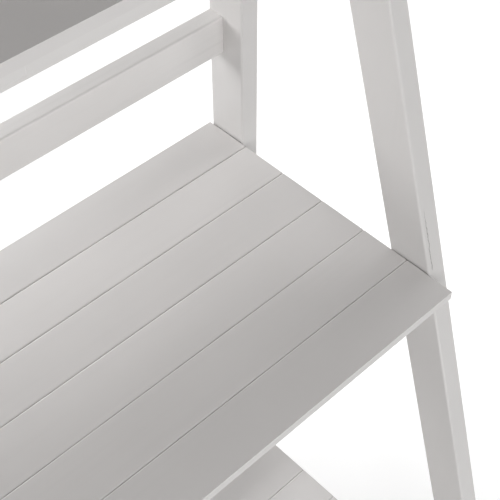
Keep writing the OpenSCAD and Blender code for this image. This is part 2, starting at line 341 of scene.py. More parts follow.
def add_bump(tree, height, shader, distance, strength=1.0):
    """Turns a height into the shader's normal."""
    bump = tree.nodes.new("ShaderNodeBump")
    bump.inputs["Strength"].default_value = strength
    bump.inputs["Distance"].default_value = distance
    tree.links.new(height, bump.inputs["Height"])
    tree.links.new(bump.outputs["Normal"], shader.inputs["Normal"])


def shifted_coordinates(tree):
    """Object coordinates moved by each board's own number, so that no grain runs on."""
    coordinates = tree.nodes.new("ShaderNodeTexCoord")
    board = tree.nodes.new("ShaderNodeAttribute")
    board.attribute_name = "board"
    shift = tree.nodes.new("ShaderNodeVectorMath")
    shift.operation = "SCALE"
    shift.inputs[0].default_value = (3.1, 1.7, 2.3)
    tree.links.new(board.outputs["Fac"], shift.inputs["Scale"])
    total = tree.nodes.new("ShaderNodeVectorMath")
    total.operation = "ADD"
    tree.links.new(coordinates.outputs["Object"], total.inputs[0])
    tree.links.new(shift.outputs["Vector"], total.inputs[1])
    return total.outputs["Vector"]


def add_shade(tree, colour):
    """Multiplies a colour by the board's shade: a random tone of its own, or on a few boards a painted lightening
    or darkening for the light on them.
    """
    shade = tree.nodes.new("ShaderNodeAttribute")
    shade.attribute_name = "shade"
    scaled = tree.nodes.new("ShaderNodeVectorMath")
    scaled.operation = "SCALE"
    tree.links.new(colour, scaled.inputs[0])
    tree.links.new(shade.outputs["Fac"], scaled.inputs["Scale"])
    return scaled.outputs["Vector"]


def stretched(tree, vector, along, fine, turn=0.0):
    """Scales coordinates so that a pattern of wavelength 1 / fine runs along one axis."""
    mapping = tree.nodes.new("ShaderNodeMapping")
    mapping.inputs["Rotation"].default_value = (turn, 0, 0)
    mapping.inputs["Scale"].default_value = [fine * (0.03 if axis == along else 1) for axis in "XYZ"]
    tree.links.new(vector, mapping.inputs["Vector"])
    return mapping.outputs["Vector"]


def near_line(tree, value, place, wobble, core, fade):
    """1 where a coordinate is within a wobbling thin line, falling to 0 beside it."""
    off = add_math(tree, "SUBTRACT", value, place)
    off = add_math(tree, "ADD", off, wobble)
    return add_range(tree, add_math(tree, "ABSOLUTE", off, 0), core, fade, 1, 0)


def paint_crack(tree, inner_x, low_z, high_z, front_y):
    """A hairline crack in the paint, upright on the front of a leg just above a shelf."""
    coordinates = tree.nodes.new("ShaderNodeTexCoord")
    place = tree.nodes.new("ShaderNodeSeparateXYZ")
    tree.links.new(coordinates.outputs["Object"], place.inputs["Vector"])
    noise = add_noise(tree, coordinates.outputs["Object"], 170, 3)
    wobble = add_math(tree, "MULTIPLY", add_math(tree, "SUBTRACT", noise, 0.5), CRACK_WANDER)
    line = near_line(tree, place.outputs["X"], inner_x + CRACK_INSET, wobble, 0.20 * MM, 0.50 * MM)
    above = add_range(tree, place.outputs["Z"], low_z, low_z + 3 * MM, 0, 1)
    below = add_range(tree, place.outputs["Z"], high_z - 18 * MM, high_z, 1, 0)
    ahead = add_range(tree, place.outputs["Y"], front_y, front_y + MM, 1, 0)
    mask = add_math(tree, "MULTIPLY", line, above)
    return add_math(tree, "MULTIPLY", add_math(tree, "MULTIPLY", mask, below), ahead)


def paint_nicks(tree):
    """A few pinholes and specks in the paint, far apart."""
    coordinates = tree.nodes.new("ShaderNodeTexCoord")
    cells = tree.nodes.new("ShaderNodeTexVoronoi")
    cells.inputs["Scale"].default_value = 22
    tree.links.new(coordinates.outputs["Object"], cells.inputs["Vector"])
    chosen = tree.nodes.new("ShaderNodeSeparateColor")
    tree.links.new(cells.outputs["Color"], chosen.inputs["Color"])
    dot = add_range(tree, cells.outputs["Distance"], 0.008, 0.018, 1, 0)
    return add_math(tree, "MULTIPLY", dot, add_range(tree, chosen.outputs["Red"], 0.80, 0.82, 0, 1))


def white_paint(name, tone, along, turn=0.0):
    """Satin white paint on wood: faint grain along the board, brush marks, painted highlights on the edges and, on
    a few boards, painted light or shade in the tone.
    """
    paint = bpy.context.scene.shelf_paint
    material, shader = new_material(name)
    tree = material.node_tree
    place = shifted_coordinates(tree)
    grain = add_noise(tree, stretched(tree, place, along, 160, turn), 1, 4, 0.6)
    brush = add_noise(tree, stretched(tree, place, along, 900, turn), 1, 2, 0.5)
    mottle = add_noise(tree, place, 9, 3)
    orange_peel = add_noise(tree, place, 420, 1)

    # Tone: slow clouds, each board a shade of its own (on a few boards a painted lightening or darkening for the
    # light on them), a trace of grain
    clouds = add_range(tree, mottle, 0.3, 0.7, 0, 1)
    dark = [channel * 0.962 for channel in tone]
    colour = add_shade(tree, add_mix(tree, clouds, dark, tone))
    streaks = add_range(tree, grain, 0.30, 0.46, 0.22, 0)
    colour = add_mix(tree, streaks, colour, [channel * 0.93 for channel in tone])

    # Edges: painted highlight, a lighter colour on the rounded edges, as strong as each face's edge mark
    edge = tree.nodes.new("ShaderNodeAttribute")
    edge.attribute_name = "edge"
    edge_highlight = add_math(tree, "MULTIPLY", edge.outputs["Fac"], add_range(tree, mottle, 0.35, 0.65, 0.1, 0.5))
    colour = add_mix(tree, edge_highlight, colour, [min(1, channel * 1.28) for channel in tone])
    flaws = paint_nicks(tree)
    if name.endswith("cracked"):
        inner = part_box("right_leg")[0].x
        shelf = SLAT_HIGH.z
        crack = paint_crack(tree, inner, shelf, shelf + CRACK_LENGTH, SLAT_LOW.y + CRACK_SETBACK)
        flaws = add_math(tree, "MAXIMUM", flaws, crack)
    colour = add_mix(tree, add_math(tree, "MULTIPLY", flaws, 0.72), colour, (0.19, 0.17, 0.16))
    tree.links.new(colour, shader.inputs["Base Color"])

    roughness = add_range(tree, grain, 0.25, 0.75, paint.gloss - 0.05, paint.gloss + 0.06)
    tree.links.new(roughness, shader.inputs["Roughness"])
    shader.inputs["IOR"].default_value = 1.48
    shader.inputs["Coat Weight"].default_value = 0.12
    shader.inputs["Coat Roughness"].default_value = 0.28

    height = add_math(tree, "MULTIPLY", grain, 0.6)
    height = add_math(tree, "ADD", height, add_math(tree, "MULTIPLY", brush, 0.25))
    height = add_math(tree, "ADD", height, add_math(tree, "MULTIPLY", orange_peel, 0.35))
    height = add_math(tree, "SUBTRACT", height, add_math(tree, "MULTIPLY", flaws, 1.5))
    add_bump(tree, height, shader, paint.texture, 0.5)
    return material


def zinc_plate():
    """Bright zinc plating with a faint spangle and handling marks."""
    material, shader = new_material("zinc_plate")
    tree = material.node_tree
    coordinates = tree.nodes.new("ShaderNodeTexCoord")
    place = coordinates.outputs["Object"]
    spangle = add_noise(tree, place, 900, 2)
    smudge = add_noise(tree, place, 120, 3)
    tone = bpy.context.scene.shelf_fittings.zinc
    colour = add_mix(tree, smudge, [channel * 0.82 for channel in tone], tone)
    tree.links.new(colour, shader.inputs["Base Color"])
    shader.inputs["Metallic"].default_value = 1.0
    tree.links.new(add_range(tree, smudge, 0.3, 0.7, 0.24, 0.42), shader.inputs["Roughness"])
    add_bump(tree, spangle, shader, 0.00002, 0.4)
    return material


def glide_plastic():
    """Dull moulded plastic for the floor glides."""
    material, shader = new_material("glide_plastic")
    tree = material.node_tree
    coordinates = tree.nodes.new("ShaderNodeTexCoord")
    grit = add_noise(tree, coordinates.outputs["Object"], 1500, 2)
    scuff = add_noise(tree, coordinates.outputs["Object"], 200, 3)
    tone = bpy.context.scene.shelf_fittings.glide
    colour = add_mix(tree, scuff, tone, [channel * 1.8 for channel in tone])
    tree.links.new(colour, shader.inputs["Base Color"])
    tree.links.new(add_range(tree, scuff, 0.3, 0.7, 0.5, 0.7), shader.inputs["Roughness"])
    add_bump(tree, grit, shader, 0.00003, 0.6)
    return material


def bare_beech():
    """Unpainted beech of the dowels, with short flecks along the grain."""
    material, shader = new_material("bare_beech")
    tree = material.node_tree
    coordinates = tree.nodes.new("ShaderNodeTexCoord")
    fleck = add_noise(tree, stretched(tree, coordinates.outputs["Object"], "Z", 900), 1, 3)
    colour = add_mix(tree, fleck, (0.42, 0.25, 0.13), (0.58, 0.39, 0.23))
    tree.links.new(colour, shader.inputs["Base Color"])
    shader.inputs["Roughness"].default_value = 0.62
    add_bump(tree, fleck, shader, 0.0001, 0.5)
    return material


def finish_for(slot, along="X", turn=0.0, cracked=False):
    """The material of a record slot, made once for each direction of grain."""
    paint = bpy.context.scene.shelf_paint
    name = f"{slot}_{along.lower()}" if "paint" in slot else slot
    if turn:
        name += "_sloping"
    if cracked:
        name += "_cracked"
    if name in bpy.data.materials:
        return bpy.data.materials[name]
    if slot == "shelf_paint":
        return white_paint(name, paint.shelf_tone, along, turn)
    if slot == "frame_paint":
        return white_paint(name, paint.frame_tone, along, turn)
    makers = {"steel": zinc_plate, "glide_plastic": glide_plastic, "beech": bare_beech}
    material = makers[slot]()
    material.name = name
    return material


# ---------- Making pieces ----------


def slot_of(node):
    """The record's material slot of a node."""
    for part in frame["record"]["subparts"]:
        if part["node"] == node:
            return part["material_slot"]
    raise RuntimeError(f"no material slot for {node}")


def body_of(node):
    """The body that carries a node."""
    for body, nodes in frame["record"]["behaviour"]["bodies"].items():
        if node in nodes:
            return body
    raise RuntimeError(f"no body for {node}")


def board_number(node):
    """A steady number from 0 to 1 for a node, to vary its grain."""
    return random.Random(node).random()


def finish_piece(bm, node, along="X", turn=0.0):
    """Makes a bmesh the visible piece of a CAD node: mesh, material, body and slot."""
    bmesh.ops.recalc_face_normals(bm, faces=bm.faces)
    name = f"{node}_piece"
    mesh = bpy.data.meshes.new(name)
    bm.to_mesh(mesh)
    bm.free()
    piece = bpy.data.objects.new(name, mesh)
    bpy.context.scene.collection.objects.link(piece)
    mesh.shade_smooth()
    mesh.set_sharp_from_angle(angle=SHARP_ANGLE)
    number = board_number(node)
    # A random shade of the board's tone, or painted light or shade for the boards listed in the shades table
    shade = PAINTED_LIGHT_SHADES.get(node, 1 + SHADE_SPREAD * (number - 0.5))
    for attribute, value in (("board", number), ("shade", shade)):
        layer = mesh.attributes.new(attribute, "FLOAT", "FACE")
        layer.data.foreach_set("value", [value] * len(mesh.polygons))
    mesh.materials.append(finish_for(slot_of(node), along, turn, node == "right_leg"))
    weights = piece.modifiers.new("face_normals", "WEIGHTED_NORMAL")
    weights.keep_sharp = True
    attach(piece, body_of(node))
    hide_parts(node)
    return piece


def block(low, high):
    """A bmesh box between two corners."""
    bm = bmesh.new()
    bm.faces.layers.float.new("edge")
    size = high - low
    matrix = Matrix.Translation((low + high) / 2) @ Matrix.Diagonal((*size, 1))
    bmesh.ops.create_cube(bm, size=1, matrix=matrix)
    return bm


def bevel(bm, edges, width, segments, highlight_strength=EDGE_HIGHLIGHT):
    """Rounds edges and marks the new faces with the strength of their painted highlight."""
    result = bmesh.ops.bevel(
        bm,
        geom=edges,
        offset=width,
        offset_type="OFFSET",
        affect="EDGES",
        segments=segments,
        profile=0.5,
        material=-1,
        clamp_overlap=True,
    )
    layer = bm.faces.layers.float["edge"]
    for face in result["faces"]:
        face[layer] = highlight_strength


def sharp_edges(bm, degrees=20):
    """Edges whose faces turn by more than an angle."""
    limit = math.radians(degrees)
    return [edge for edge in bm.edges if edge.is_manifold and edge.calc_face_angle() > limit]


def edges_along(bm, axis, test=lambda middle: True):
    """Edges that run along an axis and whose middle passes a test."""
    found = []
    for edge in bm.edges:
        way = (edge.verts[1].co - edge.verts[0].co).normalized()
        if abs(way[axis]) > 0.9 and test((edge.verts[0].co + edge.verts[1].co) / 2):
            found.append(edge)
    return found


def drill(piece, cutter_bm):
    """Cuts holes in a piece with a closed cutter, and keeps the cut mesh."""
    bmesh.ops.recalc_face_normals(cutter_bm, faces=cutter_bm.faces)
    cutter_mesh = bpy.data.meshes.new("cutter")
    cutter_bm.to_mesh(cutter_mesh)
    cutter_bm.free()
    cutter = bpy.data.objects.new("cutter", cutter_mesh)
    bpy.context.scene.collection.objects.link(cutter)
    weights = piece.modifiers["face_normals"]
    piece.modifiers.remove(weights)
    cut = piece.modifiers.new("holes", "BOOLEAN")
    cut.operation = "DIFFERENCE"
    cut.solver = "EXACT"
    cut.object = cutter
    bpy.context.view_layer.update()
    graph = bpy.context.evaluated_depsgraph_get()
    drilled = bpy.data.meshes.new_from_object(piece.evaluated_get(graph))
    piece.modifiers.remove(cut)
    old = piece.data
    name = old.name
    piece.data = drilled
    bpy.data.meshes.remove(old)
    drilled.name = name
    bpy.data.objects.remove(cutter)
    bpy.data.meshes.remove(cutter_mesh)
    drilled.set_sharp_from_angle(angle=SHARP_ANGLE)
    weights = piece.modifiers.new("face_normals", "WEIGHTED_NORMAL")
    weights.keep_sharp = True


def add_cylinder(bm, centre, axis, radius, length, segments=32, radius2=None):
    """Adds a cylinder or cone along an axis, starting at its centre of one end."""
    turn = Vector((0, 0, 1)).rotation_difference(Vector(axis)).to_matrix().to_4x4()
    matrix = Matrix.Translation(centre) @ turn @ Matrix.Translation((0, 0, length / 2))
    bmesh.ops.create_cone(
        bm,
        cap_ends=True,
        segments=segments,
        radius1=radius,
        radius2=radius if radius2 is None else radius2,
        depth=length,
        matrix=matrix,
    )


def lathe(profile, segments=32):
    """Spins a profile of (radius, height) points about Z into a closed bmesh."""
    bm = bmesh.new()
    bm.faces.layers.float.new("edge")
    verts = [bm.verts.new((radius, 0, height)) for radius, height in profile]
    edges = [bm.edges.new(pair) for pair in zip(verts, verts[1:])]
    bmesh.ops.spin(
        bm,
        geom=verts + edges,
        cent=(0, 0, 0),
        axis=(0, 0, 1),
        angle=math.tau,
        steps=segments,
        use_merge=True,
    )
    bmesh.ops.remove_doubles(bm, verts=bm.verts, dist=1e-6)
    bmesh.ops.dissolve_degenerate(bm, edges=bm.edges, dist=1e-7)
    return bm


def islands(node):
    """The boxes of the separate solids in a CAD node, each as (low, high)."""
    copy = bmesh.new()
    copy.from_mesh(frame["nodes"][node].data)
    bmesh.ops.remove_doubles(copy, verts=copy.verts, dist=1e-6)
    seen, boxes = set(), []
    for start in copy.verts:
        if start in seen:
            continue
        stack, corners = [start], []
        seen.add(start)
        while stack:
            vert = stack.pop()
            corners.append(vert.co.copy())
            for edge in vert.link_edges:
                other = edge.other_vert(vert)
                if other not in seen:
                    seen.add(other)
                    stack.append(other)
        low = Vector([min(c[i] for c in corners) for i in range(3)])
        high = Vector([max(c[i] for c in corners) for i in range(3)])
        boxes.append((low, high))
    copy.free()
    return boxes


def joined(parts):
    """One bmesh from copies of a mesh placed by matrices, or from several bmeshes."""
    bm = bmesh.new()
    bm.faces.layers.float.new("edge")
    for part, matrices in parts:
        for matrix in matrices:
            before = len(bm.verts)
            bm.from_mesh(part)
            bm.verts.ensure_lookup_table()
            bmesh.ops.transform(bm, matrix=matrix, verts=bm.verts[before:])
    return bm


# ---------- Boards ----------


def plain_board(node, along, rounding=0, arris=None):
    """A board in the box of its node, its long edges rounded and all edges then eased."""
    bm = block(*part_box(node))
    if rounding:
        bevel(bm, edges_along(bm, "XYZ".index(along)), rounding, 5)
    settings = bpy.context.scene.shelf_boards
    bevel(bm, sharp_edges(bm), arris or settings.arris, 2)
    return finish_piece(bm, node, along)


class LADDERSHELF_OT_slats(bpy.types.Operator):
    """Slats of the four shelves, rounded where they meet"""

    bl_idname = "ladder_shelf.slats"
    bl_label = "Slats"

    def execute(self, context):
        boards = context.scene.shelf_boards
        for shelf in (*SHELVES, "top"):
            prefix = f"{shelf}_slat_"
            nodes = [node for node in frame["nodes"] if node.startswith(prefix) and node[-1].isdigit()]
            back = max(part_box(node)[1].y for node in nodes)
            front = min(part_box(node)[0].y for node in nodes)
            for node in nodes:
                low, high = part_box(node)
                joined_front = low.y > front + MM
                joined_back = high.y < back - MM
                low.y -= boards.bridge * joined_front
                high.y += boards.bridge * joined_back
                middle_y = (low.y + high.y) / 2
                bm = block(low, high)

                def groove_front(middle):
                    return joined_front and middle.z > high.z - MM and middle.y < middle_y

                def groove_back(middle):
                    return joined_back and middle.z > high.z - MM and middle.y > middle_y

                # Painted highlight on the groove edges: faint on the front edge, strong on the back edge
                bevel(bm, edges_along(bm, 0, groove_front), boards.groove, 3, GROOVE_FRONT_HIGHLIGHT)
                bevel(bm, edges_along(bm, 0, groove_back), boards.groove, 3, GROOVE_BACK_HIGHLIGHT)
                bevel(bm, sharp_edges(bm), boards.arris * ARRIS["slat"], 2)
                finish_piece(bm, node)
        return {"FINISHED"}


def screw_places(prefix):
    """The axes of a shelf's screws, as the middle of each screw's box."""
    return [((low + high) / 2, low.z, high.z) for low, high in islands(f"{prefix}_slat_screws")]


class LADDERSHELF_OT_battens(bpy.types.Operator):
    """Battens under the slats, drilled for screws and pivots, and their stop blocks"""

    bl_idname = "ladder_shelf.battens"
    bl_label = "Battens"

    def execute(self, context):
        boards = context.scene.shelf_boards
        fittings = context.scene.shelf_fittings
        for shelf in SHELVES:
            places = screw_places(shelf)
            for place in ("left", "centre", "right"):
                node = f"{shelf}_{place}_batten"
                low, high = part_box(node)
                piece = plain_board(node, "Y", arris=boards.arris * ARRIS["batten"])
                cutter = bmesh.new()
                for middle, bottom, _ in places:
                    if low.x < middle.x < high.x:
                        centre = Vector((middle.x, middle.y, bottom - MM))
                        wide = fittings.screw_d + COUNTERSINK_RIM
                        narrow = wide - COUNTERSINK_DEPTH
                        add_cylinder(cutter, centre, (0, 0, 1), wide, COUNTERSINK_DEPTH, 24, narrow)
                self.pivot_hole(cutter, low, high)
                drill(piece, cutter)
            self.stop_blocks(shelf, boards)
        return {"FINISHED"}

    def pivot_hole(self, cutter, low, high):
        """The hole across an end batten that turns on its pivot bolt"""
        radius = bpy.context.scene.shelf_fittings.bolt_d / 2 + BOLT_FIT
        for centre, side in bolt_axes("pivot_bolts"):
            if low.z < centre.z < high.z and side * (low.x + high.x) > high.x - low.x:
                start = Vector((low.x - MM, centre.y, centre.z))
                add_cylinder(cutter, start, (1, 0, 0), radius, high.x - low.x + 2 * MM, 48)

    def stop_blocks(self, shelf, boards):
        """The two blocks that keep the cross rail from moving forward"""
        bm = bmesh.new()
        bm.faces.layers.float.new("edge")
        for low, high in islands(f"{shelf}_stop_blocks"):
            part = block(low, high)
            bevel(part, sharp_edges(part), boards.arris * ARRIS["block"], 2)
            mesh = bpy.data.meshes.new("stop_block")
            part.to_mesh(mesh)
            part.free()
            bm.from_mesh(mesh)
            bpy.data.meshes.remove(mesh)
        finish_piece(bm, f"{shelf}_stop_blocks", "Y")


def bolt_axes(node):
    """Each bolt of a node: the middle of its outer face, and the sign of its side."""
    axes = []
    for low, high in islands(node):
        side = 1 if low.x + high.x > 0 else -1
        outer = high.x if side > 0 else low.x
        axes.append((Vector((outer, (low.y + high.y) / 2, (low.z + high.z) / 2)), side))
    return axes


def counterbores(piece, nodes, side):
    """Cuts the sunk seats of the bolts that enter a side board."""
    fittings = bpy.context.scene.shelf_fittings
    cutter = bmesh.new()
    radius = fittings.head_d / 2 + 0.25 * MM
    for node in nodes:
        depth = BOLT_HEADS[node]
        for centre, at_side in bolt_axes(node):
            if at_side == side:
                start = centre + Vector((side * 2 * MM, 0, 0))
                add_cylinder(cutter, start, (-side, 0, 0), radius, depth + 2 * MM, 40)
                lip = centre + Vector((side * 0.6 * MM, 0, 0))
                wide, narrow = radius + 1.0 * MM, radius - 0.2 * MM
                add_cylinder(cutter, lip, (-side, 0, 0), wide, 1.2 * MM, 40, narrow)
    drill(piece, cutter)


class LADDERSHELF_OT_posts(bpy.types.Operator):
    """Upright rear posts, rounded along their edges, with seats for their bolts"""

    bl_idname = "ladder_shelf.posts"
    bl_label = "Rear posts"

    def execute(self, context):
        boards = context.scene.shelf_boards
        for name, side in zip(SIDES, (-1, 1)):
            node = f"{name}_post"
            piece = plain_board(node, "Z", boards.rounding, boards.arris * ARRIS["frame"])
            counterbores(piece, ("pivot_bolts", "back_rail_bolts"), side)
        return {"FINISHED"}


class LADDERSHELF_OT_legs(bpy.types.Operator):
    """Sloping front legs, cut level at the floor and at the top"""

    bl_idname = "ladder_shelf.legs"
    bl_label = "Front legs"

    def execute(self, context):
        boards = context.scene.shelf_boards
        for name, side in zip(SIDES, (-1, 1)):
            node = f"{name}_leg"
            low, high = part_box(node)
            depth, gap = self.section(low)
            top = PIN.z + depth
            bottom = PIN.z - PIN.z / math.cos(LEAN) - depth
            back = PIN.y - gap
            bm = block(Vector((low.x, back - depth, bottom)), Vector((high.x, back, top)))
            bevel(bm, edges_along(bm, 2), boards.rounding, 5)
            lean = Matrix.Translation(PIN) @ Matrix.Rotation(-LEAN, 4, "X") @ Matrix.Translation(-PIN)
            bmesh.ops.transform(bm, matrix=lean, verts=bm.verts)
            self.cut_level(bm, low.z, -1)
            self.cut_level(bm, high.z, 1)
            bevel(bm, sharp_edges(bm, 40), boards.arris * ARRIS["frame"], 2)
            piece = finish_piece(bm, node, "Z", LEAN)
            counterbores(piece, ("cross_rail_bolts",), side)
        return {"FINISHED"}

    def section(self, low):
        """Depth of a leg square to its length, and its gap from the hinge pin"""
        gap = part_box("left_post")[0].y - PIN.y
        foot = (PIN.z - low.z) * math.tan(LEAN)
        depth = (PIN.y - low.y - foot) * math.cos(LEAN) - gap
        return depth, gap

    def cut_level(self, bm, z, way):
        """Cuts the board at a height and closes the cut"""
        cut = bmesh.ops.bisect_plane(
            bm,
            geom=bm.verts[:] + bm.edges[:] + bm.faces[:],
            plane_co=(0, 0, z),
            plane_no=(0, 0, way),
            clear_outer=True,
        )
        rim = [item for item in cut["geom_cut"] if isinstance(item, bmesh.types.BMEdge)]
        bmesh.ops.contextual_create(bm, geom=rim)


class LADDERSHELF_OT_rails(bpy.types.Operator):
    """Back rails above the shelves and cross rails under their fronts"""

    bl_idname = "ladder_shelf.rails"
    bl_label = "Rails"

    def execute(self, context):
        boards = context.scene.shelf_boards
        for shelf in SHELVES:
            for kind in ("back", "cross"):
                arris = boards.arris * ARRIS["rail"]
                plain_board(f"{shelf}_{kind}_rail", "X", boards.rounding, arris)
        return {"FINISHED"}


class LADDERSHELF_OT_cleats(bpy.types.Operator):
    """Cleats on the posts that carry the top shelf and step over the hinges"""

    bl_idname = "ladder_shelf.cleats"
    bl_label = "Top cleats"

    def execute(self, context):
        boards = context.scene.shelf_boards
        leaf_low, leaf_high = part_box("hinge_pins")
        step_y = PIN.y + (leaf_high.y - leaf_low.y) / 2 + KNUCKLE_SPACE
        for name in SIDES:
            node = f"top_{name}_cleat"
            low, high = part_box(node)
            step_z = low.z + boards.cleat_relief
            outline = (
                (high.y, low.z), (high.y, high.z), (low.y, high.z),
                (low.y, step_z), (step_y, step_z), (step_y, low.z),
            )
            bm = bmesh.new()
            bm.faces.layers.float.new("edge")
            face = bm.faces.new([bm.verts.new((low.x, y, z)) for y, z in outline])
            grown = bmesh.ops.extrude_face_region(bm, geom=[face])
            far = [item for item in grown["geom"] if isinstance(item, bmesh.types.BMVert)]
            bmesh.ops.translate(bm, verts=far, vec=(high.x - low.x, 0, 0))
            bmesh.ops.recalc_face_normals(bm, faces=bm.faces)
            bevel(bm, sharp_edges(bm), boards.arris * ARRIS["frame"], 2)
            finish_piece(bm, node, "Y")
        return {"FINISHED"}


# ---------- Fittings ----------


def bolt_mesh(length, head_h, shank_d):
    """A sunk bolt along +X from its tip at 0 to its head, with a six-sided socket."""
    fittings = bpy.context.scene.shelf_fittings
    head = fittings.head_d / 2
    shank = shank_d / 2
    ease = 0.5 * MM
    sink = 0.25 * MM
    profile = (
        (0, 0),
        (shank - ease, 0),
        (shank, ease),
        (shank, length - head_h),
        (head, length - head_h),
        (head, length - sink - ease),
        (head - ease * 0.3, length - sink - ease * 0.3),
        (head - ease, length - sink),
        (fittings.socket * 0.66, length - sink),
        (fittings.socket * 0.60, length - sink - 0.25 * MM),
        (0, length - sink - 0.25 * MM),
    )
    bm = lathe(profile, 40)
    mesh = bpy.data.meshes.new("bolt")
    bmesh.ops.recalc_face_normals(bm, faces=bm.faces)
    bm.to_mesh(mesh)
    bm.free()
    bolt = bpy.data.objects.new("bolt", mesh)
    bpy.context.scene.collection.objects.link(bolt)
    bolt.modifiers.new("face_normals", "WEIGHTED_NORMAL")
    cutter = bmesh.new()
    across = fittings.socket / math.sqrt(3)
    add_cylinder(cutter, Vector((0, 0, length - 2.2 * MM)), (0, 0, 1), across, 4 * MM, 6)
    drill(bolt, cutter)
    turned = bolt.data
    turned.transform(Matrix.Rotation(math.pi / 2, 4, "Y"))
    bpy.data.objects.remove(bolt)
    return turned


class LADDERSHELF_OT_bolts(bpy.types.Operator):
    """Socket-head bolts sunk in the posts and legs"""

    bl_idname = "ladder_shelf.bolts"
    bl_label = "Bolts"

    def execute(self, context):
        shank = context.scene.shelf_fittings.bolt_d
        for node, head_h in BOLT_HEADS.items():
            low, high = islands(node)[0]
            length = high.x - low.x
            mesh = bolt_mesh(length, head_h, shank)
            matrices = []
            for centre, side in bolt_axes(node):
                number = board_number(f"{node}{centre.z:.4f}{side}")
                spin = Matrix.Rotation(number * math.tau, 4, "X")
                face = Matrix.Rotation(0 if side > 0 else math.pi, 4, "Z")
                inward = Matrix.Translation((-length, 0, 0))
                matrices.append(Matrix.Translation(centre) @ face @ inward @ spin)
            finish_piece(joined([(mesh, matrices)]), node)
            bpy.data.meshes.remove(mesh)
        return {"FINISHED"}


def screw_mesh(height, head_d, shank_d):
    """A countersunk screw up +Z from its head, with a cross recess."""
    sink = 0.12 * MM
    profile = (
        (0, sink),
        (head_d / 2 - 0.25 * MM, sink),
        (head_d / 2 - 0.1 * MM, sink + 0.15 * MM),
        (shank_d / 2, 2 * MM),
        (shank_d / 2, height - 2 * MM),
        (0, height),
    )
    bm = lathe(profile, 28)
    mesh = bpy.data.meshes.new("screw")
    bmesh.ops.recalc_face_normals(bm, faces=bm.faces)
    bm.to_mesh(mesh)
    bm.free()
    screw = bpy.data.objects.new("screw", mesh)
    bpy.context.scene.collection.objects.link(screw)
    screw.modifiers.new("face_normals", "WEIGHTED_NORMAL")
    arm, slit, deep = head_d * 0.28, 0.45 * MM, 1.3 * MM
    low = Vector((-arm, -slit / 2, -MM))
    high = Vector((arm, slit / 2, deep))
    for turn in (0, math.pi / 2):
        cutter = block(low, high)
        bmesh.ops.transform(cutter, matrix=Matrix.Rotation(turn, 4, "Z"), verts=cutter.verts)
        drill(screw, cutter)
    done = screw.data
    bpy.data.objects.remove(screw)
    return done


class LADDERSHELF_OT_screws(bpy.types.Operator):
    """Countersunk screws that hold the slats to the battens and cleats"""

    bl_idname = "ladder_shelf.screws"
    bl_label = "Slat screws"

    def execute(self, context):
        size = context.scene.shelf_fittings.screw_d
        for shelf in (*SHELVES, "top"):
            node = f"{shelf}_slat_screws"
            places = screw_places(shelf)
            mesh = screw_mesh(places[0][2] - places[0][1], 2 * size, size)
            matrices = []
            for middle, bottom, _ in places:
                number = board_number(f"{node}{middle.x:.4f}{middle.y:.4f}")
                spin = Matrix.Rotation(number * math.tau, 4, "Z")
                matrices.append(Matrix.Translation((middle.x, middle.y, bottom)) @ spin)
            finish_piece(joined([(mesh, matrices)]), node)
            bpy.data.meshes.remove(mesh)
        return {"FINISHED"}


class LADDERSHELF_OT_glides(bpy.types.Operator):
    """Nail-on plastic glides under the posts and legs"""

    bl_idname = "ladder_shelf.glides"
    bl_label = "Floor glides"

    def execute(self, context):
        for node in ("rear_glides", "front_glides"):
            matrices = []
            for low, high in islands(node):
                radius = (high.x - low.x) / 2
                matrices.append(Matrix.Translation(((low.x + high.x) / 2, (low.y + high.y) / 2, 0)))
            foot = min(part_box(name)[0].z for name in ("left_post", "left_leg"))
            profile = (
                (0, 0.4 * MM),
                (radius - 4 * MM, 0.4 * MM),
                (radius - 3 * MM, 0),
                (radius - 1.4 * MM, 0),
                (radius - 0.5 * MM, 0.4 * MM),
                (radius, 1.2 * MM),
                (radius, foot - 0.3 * MM),
                (radius - 0.3 * MM, foot),
                (0, foot),
            )
            bm = lathe(profile, 48)
            mesh = bpy.data.meshes.new("glide")
            bm.to_mesh(mesh)
            bm.free()
            finish_piece(joined([(mesh, matrices)]), node)
            bpy.data.meshes.remove(mesh)
        return {"FINISHED"}


class LADDERSHELF_OT_hinges(bpy.types.Operator):
    """Plated finish on the hinge leaves, pins and their screws, eased edges on the leaves and pins, and bare beech
    on the dowels
    """

    bl_idname = "ladder_shelf.hinges"
    bl_label = "Hinges and dowels"

    def execute(self, context):
        widths = {"post_hinge_leaves": 0.25, "leg_hinge_leaves": 0.25, "hinge_pins": 0.3}
        for node in (*widths, "post_hinge_screws", "leg_hinge_screws", "top_dowels"):
            cad = frame["nodes"][node]
            cad.data.materials.clear()
            cad.data.materials.append(finish_for(slot_of(node)))
            if node in widths:
                weld = cad.modifiers.new("weld", "WELD")
                weld.merge_threshold = 0.001 * MM
                ease = cad.modifiers.new("ease", "BEVEL")
                ease.width = widths[node] * MM
                ease.segments = 2
                ease.limit_method = "ANGLE"
                ease.angle_limit = math.radians(45)
                ease.harden_normals = True
        return {"FINISHED"}


# ---------- Stage ----------


def area_light(name, place, target, size, power):
    """A soft rectangular light that the camera doesn't see."""
    data = bpy.data.lights.new(name, "AREA")
    data.shape = "RECTANGLE"
    data.size, data.size_y = size
    data.energy = power
    light = bpy.data.objects.new(name, data)
    bpy.context.scene.collection.objects.link(light)
    light.location = place
    light.rotation_euler = (Vector(target) - Vector(place)).to_track_quat("-Z", "Y").to_euler()
    light.visible_camera = False
    return light


ROOM_MIDDLE = (0, 0, 0.64)
